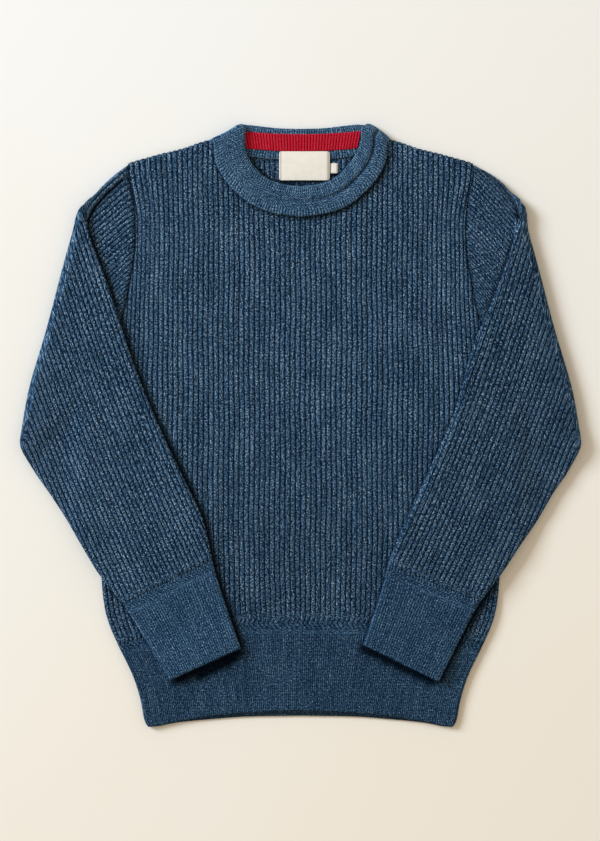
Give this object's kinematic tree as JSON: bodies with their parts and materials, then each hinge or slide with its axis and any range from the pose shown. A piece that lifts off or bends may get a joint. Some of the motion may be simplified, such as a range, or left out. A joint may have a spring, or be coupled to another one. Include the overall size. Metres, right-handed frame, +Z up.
{
  "type": "sweater",
  "caption": "Chunky ribbed crew-neck sweater lying flat on its back with both sleeves folded over its front, deep fine-rib hem and cuffs, rolled neckband.",
  "frame": {"origin": "bottom centre of the bounding box, on the surface that the sweater lies on", "axes": "+Y runs up the garment from hem to neck, +X towards the right edge as seen from above (the wearer's left), +Z up away from the surface"},
  "size_m": [0.6708, 0.7244, 0.0174],
  "materials": {
    "wool": "marled blue wool yarn, matt, soft knit",
    "red_rib": "red fine-rib wool knit, matt",
    "label": "cream woven label tape, matt"
  },
  "bodies": {
    "root": {"front_panel": "wool", "back_panel": "wool", "front_hem": "wool", "back_hem": "wool", "left_sleeve": "wool", "right_sleeve": "wool", "left_cuff": "wool", "right_cuff": "wool", "neckband": "wool", "neck_facing": "red_rib", "neck_label": "label", "size_tag": "label"}
  },
  "joints": []
}
